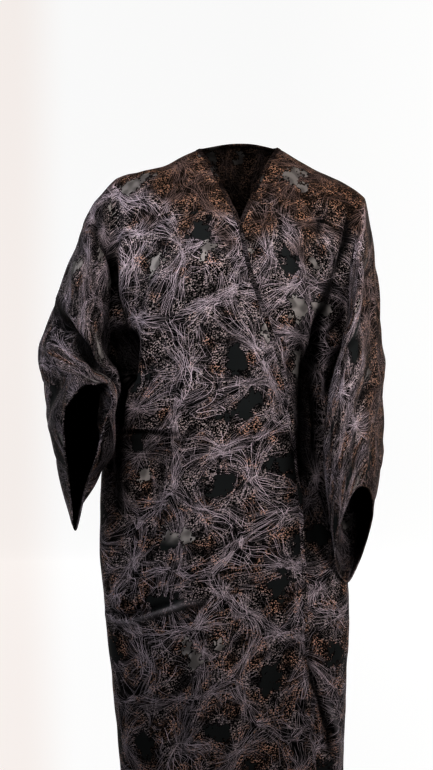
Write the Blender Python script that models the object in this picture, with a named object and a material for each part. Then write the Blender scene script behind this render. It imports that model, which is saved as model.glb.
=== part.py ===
"""A full-length open abaya with wide kimono sleeves cut in one with the body, as worn.

The wearer's right front laps over the left front below a V neck. Each panel is a wall of cloth
that holds the form of a standing figure, with the right forearm held forwards and the left arm
hanging. Metres, +Z up, the front faces -Y. The origin is midway between the two neck points.
"""

from collections import namedtuple

import bmesh
import bpy
import numpy as np

# Driving sizes
WALL = 0.0015  # cloth, thickened to a wall that holds its form
SEAM_GAP = 0.0003
BAND_WIDTH = 0.008  # faced edge along the front opening and the neck
BAND_WALL = 0.001
OVERLAP_LIFT = 0.005  # how far the right front stands off the left one that it covers
NECK_HALF = 0.075  # from the middle to the neck point, at the shoulder seam
HEM_Z = -1.450
UNDERARM_Z = -0.430
NAPE_RISE = 0.018  # the back neckline stands this far above the neck points
NAPE_ROUND = 0.035  # top of the rounded form behind that neckline
SHOULDER_ROUND = 0.060  # depth over which the cloth turns from the shoulder down the chest
SEAM_ROUND = 0.010  # keeps a sleeve open along its seams for its two walls
BACK_FULLNESS = 0.5  # how much of the front's belly a sleeve's back half has

# Mesh density
UPPER_ROWS = 16  # from the shoulder to the underarm
LOWER_ROWS = 18  # from the underarm to the hem
SIDE_COLUMNS = 13  # from the band to the armhole or the side seam
NECK_COLUMNS = 6  # across the back, between the neck points
SLEEVE_STATIONS = 13
FIRST_TURN = 1 / 12  # of the half turn round a sleeve, the step from a seam to the next row

# The body's ring at each height: its sides, its front and back in the middle, and its side seam
Level = namedtuple("Level", "z left right front back seam")
BODY = [
    Level(z=0.02, left=-0.252, right=0.258, front=-0.045, back=0.080, seam=0.000),
    Level(z=-0.05, left=-0.252, right=0.258, front=-0.072, back=0.092, seam=0.000),
    Level(z=-0.12, left=-0.253, right=0.252, front=-0.100, back=0.106, seam=0.005),
    Level(z=-0.20, left=-0.253, right=0.240, front=-0.122, back=0.113, seam=0.012),
    Level(z=-0.28, left=-0.252, right=0.227, front=-0.134, back=0.111, seam=0.020),
    Level(z=-0.35, left=-0.251, right=0.214, front=-0.136, back=0.106, seam=0.025),
    Level(z=-0.43, left=-0.250, right=0.200, front=-0.132, back=0.104, seam=0.030),
    Level(z=-0.55, left=-0.258, right=0.190, front=-0.128, back=0.111, seam=0.020),
    Level(z=-0.68, left=-0.266, right=0.196, front=-0.128, back=0.123, seam=0.008),
    Level(z=-0.80, left=-0.265, right=0.210, front=-0.130, back=0.127, seam=0.000),
    Level(z=-0.92, left=-0.253, right=0.212, front=-0.133, back=0.127, seam=0.000),
    Level(z=-1.06, left=-0.240, right=0.207, front=-0.135, back=0.127, seam=0.000),
    Level(z=-1.20, left=-0.226, right=0.201, front=-0.137, back=0.129, seam=0.000),
    Level(z=HEM_Z, left=-0.211, right=0.192, front=-0.141, back=0.134, seam=0.000),
]
SIDE_POWER = 2.3  # squareness of the rings: 2 is an ellipse
DEPTH_POWER = 2.2

# Where each front's free edge runs: the V neck first, then the lap down to the hem
Edge = namedtuple("Edge", "z front_right front_left")
FRONT_EDGES = [
    Edge(z=0.000, front_right=-NECK_HALF, front_left=NECK_HALF),
    Edge(z=-0.044, front_right=-0.048, front_left=0.050),
    Edge(z=-0.080, front_right=-0.031, front_left=0.033),
    Edge(z=-0.118, front_right=-0.013, front_left=0.016),
    Edge(z=-0.152, front_right=0.002, front_left=0.002),
    Edge(z=-0.248, front_right=0.024, front_left=-0.030),
    Edge(z=-0.330, front_right=0.052, front_left=-0.048),
    Edge(z=-0.430, front_right=0.083, front_left=-0.060),
    Edge(z=-0.613, front_right=0.112, front_left=-0.075),
    Edge(z=-0.800, front_right=0.122, front_left=-0.085),
    Edge(z=-1.000, front_right=0.131, front_left=-0.092),
    Edge(z=-1.200, front_right=0.143, front_left=-0.098),
    Edge(z=HEM_Z, front_right=0.150, front_left=-0.104),
]

# The shoulder seam against a straight line from the neck point to the end of the shoulder
Dip = namedtuple("Dip", "share right left")
SHOULDER_DIP = [
    Dip(share=0.00, right=0.000, left=0.000),
    Dip(share=0.23, right=-0.006, left=0.000),
    Dip(share=0.42, right=-0.011, left=0.001),
    Dip(share=0.70, right=-0.004, left=0.003),
    Dip(share=0.85, right=0.001, left=0.005),
    Dip(share=1.00, right=0.000, left=0.000),
]

# A sleeve's rings from armhole to cuff. Top and bottom lie on its seams, inner is the middle of
# the front's half and outer that of the back's. Belly rounds the lobe that hangs between them,
# and droop gathers its width towards the top
Ring = namedtuple("Ring", "at top inner bottom outer belly droop back_droop")
RIGHT_SLEEVE = [
    Ring(at=0.00, top=(-0.237, 0.000, -0.057), inner=(-0.236, -0.040, -0.2435),
         bottom=(-0.250, 0.030, UNDERARM_Z), outer=(-0.232, 0.085, -0.2435), belly=0.000, droop=0.15,
         back_droop=0.15),
    Ring(at=0.18, top=(-0.283, 0.000, -0.113), inner=(-0.262, -0.085, -0.285),
         bottom=(-0.269, 0.036, -0.487), outer=(-0.276, 0.088, -0.270), belly=0.005, droop=0.10,
         back_droop=0.10),
    Ring(at=0.38, top=(-0.320, 0.008, -0.215), inner=(-0.282, -0.102, -0.362),
         bottom=(-0.289, 0.042, -0.552), outer=(-0.322, 0.088, -0.365), belly=0.013, droop=0.10,
         back_droop=0.10),
    Ring(at=0.60, top=(-0.368, 0.016, -0.352), inner=(-0.272, -0.078, -0.470),
         bottom=(-0.300, 0.030, -0.628), outer=(-0.358, 0.062, -0.480), belly=0.013, droop=0.15,
         back_droop=0.15),
    Ring(at=0.80, top=(-0.346, -0.098, -0.425), inner=(-0.254, -0.126, -0.560),
         bottom=(-0.315, -0.036, -0.695), outer=(-0.351, -0.040, -0.550), belly=0.004, droop=0.35,
         back_droop=0.50),
    Ring(at=0.90, top=(-0.317, -0.158, -0.436), inner=(-0.276, -0.140, -0.584),
         bottom=(-0.312, -0.078, -0.715), outer=(-0.337, -0.105, -0.572), belly=0.002, droop=0.90,
         back_droop=0.90),
    Ring(at=1.00, top=(-0.281, -0.215, -0.450), inner=(-0.276, -0.165, -0.587),
         bottom=(-0.303, -0.115, -0.725), outer=(-0.306, -0.165, -0.587), belly=0.000, droop=2.20,
         back_droop=2.20),
]
LEFT_SLEEVE = [
    Ring(at=0.00, top=(0.245, 0.000, -0.094), inner=(0.217, -0.048, -0.262),
         bottom=(0.200, 0.030, UNDERARM_Z), outer=(0.235, 0.085, -0.262), belly=0.000, droop=0.15,
         back_droop=0.15),
    Ring(at=0.18, top=(0.259, 0.004, -0.165), inner=(0.210, -0.098, -0.330),
         bottom=(0.223, 0.034, -0.495), outer=(0.252, 0.088, -0.330), belly=0.013, droop=0.10,
         back_droop=0.10),
    Ring(at=0.38, top=(0.266, 0.008, -0.270), inner=(0.184, -0.134, -0.410),
         bottom=(0.237, 0.034, -0.575), outer=(0.260, 0.083, -0.425), belly=0.026, droop=0.10,
         back_droop=0.10),
    Ring(at=0.58, top=(0.269, 0.000, -0.390), inner=(0.172, -0.146, -0.510),
         bottom=(0.234, 0.022, -0.665), outer=(0.264, 0.060, -0.530), belly=0.026, droop=0.10,
         back_droop=0.10),
    Ring(at=0.79, top=(0.262, -0.046, -0.520), inner=(0.176, -0.148, -0.620),
         bottom=(0.224, -0.006, -0.755), outer=(0.262, 0.020, -0.640), belly=0.018, droop=0.15,
         back_droop=0.15),
    Ring(at=1.00, top=(0.228, -0.118, -0.643), inner=(0.187, -0.112, -0.742),
         bottom=(0.206, -0.052, -0.831), outer=(0.240, -0.060, -0.737), belly=0.010, droop=0.30,
         back_droop=0.30),
]

# Hanging folds as soft ridges (+) and troughs (-): where each starts and ends, seen from the front
Fold = namedtuple("Fold", "x1 z1 x2 z2 width height")
FRONT_FOLDS = [
    Fold(x1=-0.150, z1=-0.20, x2=-0.185, z2=-0.46, width=0.030, height=0.010),
    Fold(x1=-0.215, z1=-0.62, x2=-0.196, z2=HEM_Z, width=0.030, height=-0.012),
    Fold(x1=0.115, z1=-0.30, x2=0.150, z2=-0.72, width=0.030, height=0.008),
    Fold(x1=0.165, z1=-0.70, x2=0.158, z2=HEM_Z, width=0.026, height=-0.010),
    Fold(x1=-0.060, z1=-0.78, x2=-0.075, z2=HEM_Z, width=0.045, height=0.007),
    Fold(x1=0.045, z1=-0.90, x2=0.050, z2=HEM_Z, width=0.040, height=-0.007),
]
BACK_FOLDS = [
    Fold(x1=-0.175, z1=-0.20, x2=-0.165, z2=HEM_Z, width=0.030, height=-0.013),
    Fold(x1=-0.110, z1=-0.30, x2=-0.105, z2=HEM_Z, width=0.030, height=0.011),
    Fold(x1=-0.045, z1=-0.24, x2=-0.045, z2=HEM_Z, width=0.028, height=-0.010),
    Fold(x1=0.020, z1=-0.34, x2=0.015, z2=HEM_Z, width=0.030, height=0.012),
    Fold(x1=0.080, z1=-0.26, x2=0.075, z2=HEM_Z, width=0.028, height=-0.011),
    Fold(x1=0.145, z1=-0.22, x2=0.135, z2=HEM_Z, width=0.030, height=0.012),
]
FOLD_FADE = 0.16  # length over which a fold grows from nothing at its upper end

# Each solid's base colour
COLOURS = {
    "back": (0.020, 0.018, 0.021),
    "front_right": (0.021, 0.019, 0.021),
    "front_left": (0.020, 0.018, 0.022),
    "neck_band": (0.012, 0.011, 0.012),
}


# Curves through the tables


def through(table, column, along, key="z"):
    """A smooth curve through a table's column at each place in along, with no overshoot."""
    rows = sorted(table, key=lambda row: getattr(row, key))
    at = np.array([getattr(row, key) for row in rows])
    value = np.array([np.atleast_1d(getattr(row, column)) for row in rows], float)
    step = np.diff(value, axis=0) / np.diff(at)[:, None]
    slope = np.vstack([step[:1], (step[1:] + step[:-1]) / 2, step[-1:]])
    slope[:-1] = np.clip(slope[:-1], -3 * abs(step), 3 * abs(step))
    slope[1:] = np.clip(slope[1:], -3 * abs(step), 3 * abs(step))
    along = np.clip(along, at[0], at[-1])
    i = np.clip(np.searchsorted(at, along) - 1, 0, len(at) - 2)
    span = (at[i + 1] - at[i])[..., None]
    u = (along - at[i])[..., None] / span
    start, end = value[i], value[i + 1]
    leave, arrive = slope[i] * span, slope[i + 1] * span
    bend = start - end
    curve = start + u * leave - u**2 * (3 * bend + 2 * leave + arrive)
    curve = curve + u**3 * (2 * bend + leave + arrive)
    return curve[..., 0] if value.shape[1] == 1 else curve


def ease(value, start, end):
    """0 before start, 1 after end, and a smooth step between them."""
    u = np.clip((value - start) / (end - start), 0, 1)
    return u * u * (3 - 2 * u)


# The sleeves


def turn_shares():
    """Shares of the half turn from a sleeve's top seam to its bottom seam, one for each row."""
    return np.concatenate([[0], np.linspace(FIRST_TURN, 1, UPPER_ROWS)])


def sleeve_grid(sleeve, half, stations=SLEEVE_STATIONS):
    """Points of one half of a sleeve, by station from the armhole and by row from the top seam."""
    at = np.linspace(0, 1, stations + 1)
    top, inner, bottom, outer, belly, droop, back_droop = (
        through(sleeve, column, at, key="at")[:, None] for column in Ring._fields[1:]
    )
    angle = np.pi * turn_shares()[None, :, None]
    middle = (top + bottom) / 2
    forward = (inner - outer) / np.linalg.norm(inner - outer, axis=2, keepdims=True)
    aside = np.cross((0, 0, 1), forward) * np.sign(sleeve[0].top[0]) * belly[..., None]
    side, sense, droop = (inner, 1, droop) if half == "inner" else (outer, -1, back_droop)
    gathered = (1 + np.cos(angle)) ** droop[..., None]
    spread = (side - middle) * gathered + forward * sense * SEAM_ROUND
    hung = middle + (top - bottom) / 2 * np.cos(angle)
    lobe = np.sin(2 * angle) * np.sin(angle)
    lobe = lobe if half == "inner" else BACK_FULLNESS * lobe.clip(0)
    return hung + spread * np.sin(angle) + aside * lobe


# The body


def shoulder_line(x):
    """Height of the shoulder seam over x, level between the neck points."""
    end = np.where(x < 0, RIGHT_SLEEVE[0].top[0], LEFT_SLEEVE[0].top[0])
    drop = np.where(x < 0, RIGHT_SLEEVE[0].top[2], LEFT_SLEEVE[0].top[2])
    share = np.clip((abs(x) - NECK_HALF) / (abs(end) - NECK_HALF), 0, 1)
    dip = np.where(
        x < 0,
        through(SHOULDER_DIP, "right", share, key="share"),
        through(SHOULDER_DIP, "left", share, key="share"),
    )
    return drop * share + dip


def nape_line(x, rise):
    """A curve that rises between the neck points, behind the neck."""
    return rise * np.clip(1 - (x / NECK_HALF) ** 2, 0, 1)


def fold_height(folds, x, z):
    """How far the folds push the cloth out at each point, as seen from the front."""
    total = np.zeros(x.shape)
    for fold in folds:
        run_x, run_z = fold.x2 - fold.x1, fold.z2 - fold.z1
        length = np.hypot(run_x, run_z)
        along = ((x - fold.x1) * run_x + (z - fold.z1) * run_z) / length
        across = ((x - fold.x1) * run_z - (z - fold.z1) * run_x) / length
        total += fold.height * np.exp(-((across / fold.width) ** 2)) * ease(along, 0, FOLD_FADE)
    return total


def form(x, z, side):
    """The body's outer surface at each point of the front view. side is "front" or "back"."""
    left, right, deep, seam = (through(BODY, column, z) for column in ("left", "right", side, "seam"))
    top = shoulder_line(x) + (nape_line(x, NAPE_ROUND) if side == "back" else 0)
    turned = np.clip((top - z) / SHOULDER_ROUND, 0, 1)
    over = np.sqrt(1 - (1 - turned) ** 2)
    across = np.clip((2 * x - left - right) / (right - left), -1, 1)
    out = (1 - abs(across) ** SIDE_POWER) ** (1 / DEPTH_POWER)
    push = fold_height(BACK_FOLDS if side == "back" else FRONT_FOLDS, x, z) * over
    y = seam + (deep - seam) * out
    facing = np.sign(deep - seam)
    return np.stack([x, y * over + push * out * facing, z], axis=-1)


def row_ends(sleeve, side):
    """Where each row of the body ends: on the armhole, or below it on the side seam."""
    armhole = sleeve_grid(sleeve, "inner" if side == "front" else "outer")[0]
    z = np.linspace(UNDERARM_Z, HEM_Z, LOWER_ROWS + 1)[1:]
    x = through(BODY, "left" if sleeve is RIGHT_SLEEVE else "right", z)
    return np.vstack([armhole, np.stack([x, through(BODY, "seam", z), z], axis=-1)])


def row_points(x, ends, side):
    """Points of the body's rows at x, fitted to the row ends in columns 0 and -1 where given."""
    drop = np.concatenate([(1 - np.cos(np.pi * turn_shares())) / 2, np.ones(LOWER_ROWS)])
    level = np.concatenate([UNDERARM_Z * drop[: UPPER_ROWS + 1], ends[-1][UPPER_ROWS + 1:, 2]])
    top = shoulder_line(x) + (nape_line(x, NAPE_RISE) if side == "back" else 0)
    z = top * (1 - drop[:, None]) + level[:, None]
    points = form(x, z, side)
    for column, end in ends.items():
        near = ease(np.linspace(0, 1, x.shape[1]), 0.62, 1)
        near = near if column else near[::-1]
        miss = end - points[:, column]
        points = points + miss[:, None] * near[None, :, None]
    return points


def side_columns(start, end, far_end):
    """Columns from start to end, spaced as even steps round a form from far_end to end."""
    middle, half = (end + far_end) / 2, (end - far_end) / 2
    angle = np.linspace(np.arcsin((start - middle) / half), np.pi / 2, SIDE_COLUMNS + 1)
    return (middle + half * np.sin(angle)).T


def outward(points, sign):
    """Unit vectors off a grid of points, to the side that sign picks."""
    down, across = np.gradient(points, axis=0), np.gradient(points, axis=1)
    normal = np.cross(down, across) * sign
    return normal / np.linalg.norm(normal, axis=2, keepdims=True)


def front_grid(sleeve, column):
    """The body part of a front: rows from the shoulder to the hem, columns from its free edge."""
    ends = row_ends(sleeve, "front")
    far_ends = row_ends(LEFT_SLEEVE if sleeve is RIGHT_SLEEVE else RIGHT_SLEEVE, "front")
    drop = (1 - np.cos(np.pi * turn_shares())) / 2
    level = np.concatenate([UNDERARM_Z * drop, ends[UPPER_ROWS + 1:, 2]])
    edge = through(FRONT_EDGES, column, level)
    band = edge + np.sign(ends[:, 0]) * BAND_WIDTH
    x = np.hstack([edge[:, None], side_columns(band, ends[:, 0], far_ends[:, 0])])
    points = row_points(x, {-1: ends}, "front")
    if column == "front_right":
        lift = OVERLAP_LIFT * ease(x, -0.19, -0.12) * ease(-level[:, None], 0.03, 0.12)
        points += outward(points, -1) * lift[..., None]
    return points


def back_grid():
    """The body part of the back, from the right armhole or side seam to the left one."""
    ends = {0: row_ends(RIGHT_SLEEVE, "back"), -1: row_ends(LEFT_SLEEVE, "back")}
    first, last = ends[0][:, 0], ends[-1][:, 0]
    neck = np.array([NECK_HALF + BAND_WIDTH])
    right_side = side_columns(-neck, first[:1], last[:1])[0, ::-1] / -first[0]
    left_side = side_columns(neck, last[:1], first[:1])[0] / last[0]
    middle = np.linspace(-NECK_HALF, NECK_HALF, NECK_COLUMNS + 1)
    middle = middle / np.where(middle < 0, -first[0], last[0])
    share = np.concatenate([right_side, middle, left_side])
    x = np.where(share < 0, -share * first[:, None], share * last[:, None])
    return row_points(x, ends, "back")


# Panels, from grids of points


class Garment:
    """The outer surface of all panels, joined at the seams so that they share their normals."""

    def __init__(self):
        self.mesh = bmesh.new()
        self.panel = self.mesh.faces.layers.string.new("panel")
        self.band = self.mesh.faces.layers.int.new("band")
        self.vertices = {}

    def vertex(self, point):
        key = tuple(np.round(point, 5))
        if key not in self.vertices:
            self.vertices[key] = self.mesh.verts.new(point)
        return self.vertices[key]

    def add(self, panel, grid, flip, band=None):
        """Adds a grid's faces. band picks the cells that the neck band lies on."""
        for r in range(grid.shape[0] - 1):
            for c in range(grid.shape[1] - 1):
                corners = [grid[r, c], grid[r + 1, c], grid[r + 1, c + 1], grid[r, c + 1]]
                if flip:
                    corners.reverse()
                face = self.mesh.faces.new([self.vertex(corner) for corner in corners])
                face[self.panel] = panel.encode()
                face[self.band] = int(band is not None and band(r, c))

    def on_seam(self, edge):
        return len({face[self.panel] for face in edge.link_faces}) > 1

    def drawn_back(self, vertex, faces):
        """A panel's vertex, moved off its seam by half the gap there."""
        inward = [
            (edge.other_vert(vertex).co - vertex.co).normalized()
            for edge in vertex.link_edges
            if not self.on_seam(edge) and any(face in faces for face in edge.link_faces)
        ]
        if not inward or not any(self.on_seam(edge) for edge in vertex.link_edges):
            return vertex.co.copy()
        direction = sum(inward[1:], inward[0]).normalized()
        return vertex.co + direction * SEAM_GAP / 2

    def wall(self, name, faces, outer, inner, split):
        """A solid between two offsets of some faces, drawn back from the seams if split."""
        faces = set(faces)
        solid = bmesh.new()
        skins = [{}, {}]
        for vertex in sorted({v for face in faces for v in face.verts}, key=lambda v: v.index):
            start = self.drawn_back(vertex, faces) if split else vertex.co
            for skin, offset in zip(skins, (outer, inner)):
                skin[vertex] = solid.verts.new(start + vertex.normal * offset)
        for face in sorted(faces, key=lambda face: face.index):
            solid.faces.new([skins[0][v] for v in face.verts])
            solid.faces.new([skins[1][v] for v in reversed(face.verts)])
            for loop in face.loops:
                if sum(other in faces for other in loop.edge.link_faces) == 1:
                    a, b = loop.vert, loop.link_loop_next.vert
                    rim = [skins[0][b], skins[0][a], skins[1][a], skins[1][b]]
                    cut = 0 if b.index < a.index else 1  # the same way on both sides of a seam
                    rim = rim[cut:] + rim[:cut]
                    solid.faces.new(rim[:3])
                    solid.faces.new([rim[0], rim[2], rim[3]])
        make_object(name, solid)


def make_object(name, solid):
    mesh = bpy.data.meshes.new(name)
    solid.to_mesh(mesh)
    solid.free()
    mesh.shade_smooth()
    mesh.set_sharp_from_angle(angle=np.radians(50))
    material = bpy.data.materials.new(name + "_cloth")
    material.use_nodes = True
    shader = material.node_tree.nodes["Principled BSDF"]
    shader.inputs["Base Color"].default_value = (*COLOURS[name], 1)
    shader.inputs["Roughness"].default_value = 0.55
    mesh.materials.append(material)
    bpy.data.collections["abaya"].objects.link(bpy.data.objects.new(name, mesh))


def main():
    for old in list(bpy.data.objects):
        bpy.data.objects.remove(old)
    bpy.context.scene.collection.children.link(bpy.data.collections.new("abaya"))

    garment = Garment()
    right_mark = SIDE_COLUMNS
    left_mark = SIDE_COLUMNS + 2 + NECK_COLUMNS
    garment.add(
        "back",
        back_grid(),
        flip=True,
        band=lambda r, c: r == 0 and right_mark <= c < left_mark,
    )
    garment.add("back", sleeve_grid(RIGHT_SLEEVE, "outer"), flip=True)
    garment.add("back", sleeve_grid(LEFT_SLEEVE, "outer"), flip=False)
    for panel, sleeve, right in (
        ("front_right", RIGHT_SLEEVE, True),
        ("front_left", LEFT_SLEEVE, False),
    ):
        body = front_grid(sleeve, panel)
        garment.add(panel, body, flip=right, band=lambda r, c: c == 0)
        garment.add(panel, sleeve_grid(sleeve, "inner"), flip=not right)
    bmesh.ops.triangulate(garment.mesh, faces=garment.mesh.faces[:], quad_method="SHORT_EDGE")
    garment.mesh.verts.index_update()
    garment.mesh.faces.index_update()
    garment.mesh.normal_update()

    for panel in ("back", "front_right", "front_left"):
        faces = [f for f in garment.mesh.faces if f[garment.panel] == panel.encode()]
        garment.wall(panel, faces, outer=0, inner=-WALL, split=True)
    faces = [f for f in garment.mesh.faces if f[garment.band]]
    garment.wall("neck_band", faces, outer=SEAM_GAP + BAND_WALL, inner=SEAM_GAP, split=False)
    garment.mesh.free()


main()
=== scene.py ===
"""A full-length open abaya of black burnt-out organza, in its worn form.

Three panels hang from the shoulders, the back and two fronts that lap below a V neck, and a narrow
band runs along their free edges. Both kimono sleeves are cut in one with the body. Sizes are in
metres from between the neck points: x to the wearer's left, y to the back and z up.
"""

from collections import namedtuple

import bpy
import numpy as np
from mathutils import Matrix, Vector, noise


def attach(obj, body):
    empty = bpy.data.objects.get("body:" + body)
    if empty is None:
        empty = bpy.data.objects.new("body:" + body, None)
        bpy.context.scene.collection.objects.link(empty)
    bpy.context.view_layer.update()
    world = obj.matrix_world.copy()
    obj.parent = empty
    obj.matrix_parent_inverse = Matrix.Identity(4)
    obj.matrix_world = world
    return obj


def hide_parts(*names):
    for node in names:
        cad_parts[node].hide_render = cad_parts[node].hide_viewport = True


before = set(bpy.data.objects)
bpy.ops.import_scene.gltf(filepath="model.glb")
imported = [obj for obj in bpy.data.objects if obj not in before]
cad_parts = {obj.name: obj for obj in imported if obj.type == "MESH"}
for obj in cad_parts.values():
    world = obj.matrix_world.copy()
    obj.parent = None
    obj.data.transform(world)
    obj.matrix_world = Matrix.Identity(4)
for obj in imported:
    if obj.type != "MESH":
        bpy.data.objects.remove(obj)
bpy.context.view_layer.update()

for loaded in bpy.context.selected_objects:
    loaded.select_set(False)


# The view
#
# A level camera on a stand, 2.9 m in front of the garment, takes in 0.84 by 1.49 m of it. The hem
# stays just below the picture.

CAMERA_Y = -2.9


def placed(name, data):
    """A new object, linked to the scene."""
    thing = bpy.data.objects.new(name, data)
    bpy.context.collection.objects.link(thing)
    return thing


camera_data = bpy.data.cameras.new("camera")
camera_data.lens = 70.25
camera_data.sensor_width = 36.0
camera = placed("camera", camera_data)
camera.location = (-0.0415, CAMERA_Y, -0.456)
camera.rotation_euler = (np.pi / 2, 0, 0)
bpy.context.scene.camera = camera


# The sleeves
#
# Wide kimono sleeves of one layer of organza, cut in one with the body. Rings from the armhole to a
# tear-drop cuff give their form: the right one bends forwards at the elbow, and the left one hangs.

UNDERARM_Z = -0.430
SEAM_ROUND = 0.010
BACK_FULLNESS = 0.5
UPPER_ROWS = 76
STATIONS = 64

Ring = namedtuple("Ring", "at top inner bottom outer belly droop back_droop")
RIGHT_SLEEVE = [Ring(*row) for row in (
    (0.00, (-0.237, 0.000, -0.057), (-0.236, -0.040, -0.2435), (-0.250, 0.030, UNDERARM_Z),
     (-0.232, 0.085, -0.2435), 0.000, 0.15, 0.15),
    (0.18, (-0.283, 0.000, -0.113), (-0.262, -0.085, -0.285), (-0.269, 0.036, -0.487),
     (-0.276, 0.088, -0.270), 0.005, 0.10, 0.10),
    (0.38, (-0.320, 0.008, -0.215), (-0.282, -0.102, -0.362), (-0.289, 0.042, -0.552),
     (-0.322, 0.088, -0.365), 0.013, 0.10, 0.10),
    (0.60, (-0.368, 0.016, -0.352), (-0.272, -0.078, -0.470), (-0.300, 0.030, -0.628),
     (-0.358, 0.062, -0.480), 0.013, 0.15, 0.15),
    (0.80, (-0.346, -0.098, -0.425), (-0.254, -0.126, -0.560), (-0.315, -0.036, -0.695),
     (-0.351, -0.040, -0.550), 0.004, 0.35, 0.50),
    (0.90, (-0.317, -0.158, -0.436), (-0.276, -0.140, -0.584), (-0.312, -0.078, -0.715),
     (-0.337, -0.105, -0.572), 0.002, 0.90, 0.90),
    (1.00, (-0.281, -0.215, -0.450), (-0.276, -0.165, -0.587), (-0.303, -0.115, -0.725),
     (-0.306, -0.165, -0.587), 0.000, 2.20, 2.20),
)]
LEFT_SLEEVE = [Ring(*row) for row in (
    (0.00, (0.245, 0.000, -0.094), (0.217, -0.048, -0.262), (0.200, 0.030, UNDERARM_Z),
     (0.235, 0.085, -0.262), 0.000, 0.15, 0.15),
    (0.18, (0.259, 0.004, -0.165), (0.210, -0.098, -0.330), (0.223, 0.034, -0.495),
     (0.252, 0.088, -0.330), 0.013, 0.10, 0.10),
    (0.38, (0.266, 0.008, -0.270), (0.184, -0.134, -0.410), (0.237, 0.034, -0.575),
     (0.260, 0.083, -0.425), 0.026, 0.10, 0.10),
    (0.58, (0.269, 0.000, -0.390), (0.172, -0.146, -0.510), (0.234, 0.022, -0.665),
     (0.264, 0.060, -0.530), 0.026, 0.10, 0.10),
    (0.79, (0.262, -0.046, -0.520), (0.176, -0.148, -0.620), (0.224, -0.006, -0.755),
     (0.262, 0.020, -0.640), 0.018, 0.15, 0.15),
    (1.00, (0.228, -0.118, -0.643), (0.187, -0.112, -0.742), (0.206, -0.052, -0.831),
     (0.240, -0.060, -0.737), 0.010, 0.30, 0.30),
)]


def through(table, column, along, key="z"):
    """A smooth curve through a table's column at each place in along, with no overshoot."""
    rows = sorted(table, key=lambda row: getattr(row, key))
    at = np.array([getattr(row, key) for row in rows])
    value = np.array([np.atleast_1d(getattr(row, column)) for row in rows], float)
    step = np.diff(value, axis=0) / np.diff(at)[:, None]
    slope = np.vstack([step[:1], (step[1:] + step[:-1]) / 2, step[-1:]])
    slope[:-1] = np.clip(slope[:-1], -3 * abs(step), 3 * abs(step))
    slope[1:] = np.clip(slope[1:], -3 * abs(step), 3 * abs(step))
    along = np.clip(along, at[0], at[-1])
    i = np.clip(np.searchsorted(at, along) - 1, 0, len(at) - 2)
    span = (at[i + 1] - at[i])[..., None]
    u = (along - at[i])[..., None] / span
    start, end = value[i], value[i + 1]
    leave, arrive = slope[i] * span, slope[i + 1] * span
    bend = start - end
    curve = start + u * leave - u**2 * (3 * bend + 2 * leave + arrive)
    curve = curve + u**3 * (2 * bend + leave + arrive)
    return curve[..., 0] if value.shape[1] == 1 else curve


turns = np.linspace(0, 1, UPPER_ROWS + 1)


def sleeve_grid(sleeve, half):
    """Points of one half of a sleeve, by row from the top seam and by station from the armhole."""
    at = np.linspace(0, 1, STATIONS + 1)
    top, inner, bottom, outer, belly, droop, back_droop = (
        through(sleeve, column, at, key="at")[:, None] for column in Ring._fields[1:]
    )
    angle = np.pi * turns[None, :, None]
    middle = (top + bottom) / 2
    forward = (inner - outer) / np.linalg.norm(inner - outer, axis=2, keepdims=True)
    aside = np.cross((0, 0, 1), forward) * np.sign(sleeve[0].top[0]) * belly[..., None]
    side, sense, droop = (inner, 1, droop) if half == "inner" else (outer, -1, back_droop)
    gathered = (1 + np.cos(angle)) ** droop[..., None]
    spread = (side - middle) * gathered + forward * sense * SEAM_ROUND
    hung = middle + (top - bottom) / 2 * np.cos(angle)
    lobe = np.sin(2 * angle) * np.sin(angle)
    lobe = lobe if half == "inner" else BACK_FULLNESS * lobe.clip(0)
    return (hung + spread * np.sin(angle) + aside * lobe).transpose(1, 0, 2)


# The body
#
# From the shoulder seams the cloth hangs in level rings, as wide as when worn, down to a plain hem.
# The organza is stiff, so its hanging folds are long, shallow and far apart.

NECK_HALF = 0.075
HEM_Z = -1.450
SHOULDER_ROUND = 0.060
SIDE_POWER = 2.3
DEPTH_POWER = 2.2

Level = namedtuple("Level", "z left right front back seam")
BODY = [Level(*row) for row in (
    (0.02, -0.252, 0.258, -0.045, 0.080, 0.000),
    (-0.05, -0.252, 0.258, -0.072, 0.092, 0.000),
    (-0.12, -0.253, 0.252, -0.100, 0.106, 0.005),
    (-0.20, -0.253, 0.240, -0.122, 0.113, 0.012),
    (-0.28, -0.252, 0.227, -0.134, 0.111, 0.020),
    (-0.35, -0.251, 0.214, -0.136, 0.106, 0.025),
    (-0.43, -0.250, 0.200, -0.132, 0.104, 0.030),
    (-0.55, -0.258, 0.190, -0.128, 0.111, 0.020),
    (-0.68, -0.266, 0.196, -0.128, 0.123, 0.008),
    (-0.80, -0.265, 0.210, -0.130, 0.127, 0.000),
    (-0.92, -0.253, 0.212, -0.133, 0.127, 0.000),
    (-1.06, -0.240, 0.207, -0.135, 0.127, 0.000),
    (-1.20, -0.226, 0.201, -0.137, 0.129, 0.000),
    (HEM_Z, -0.211, 0.192, -0.141, 0.134, 0.000),
)]

Dip = namedtuple("Dip", "share right left")
SHOULDER_DIP = [Dip(*row) for row in (
    (0.00, 0.000, 0.000),
    (0.23, -0.006, 0.000),
    (0.42, -0.011, 0.001),
    (0.70, -0.004, 0.003),
    (0.85, 0.001, 0.005),
    (1.00, 0.000, 0.000),
)]

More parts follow.
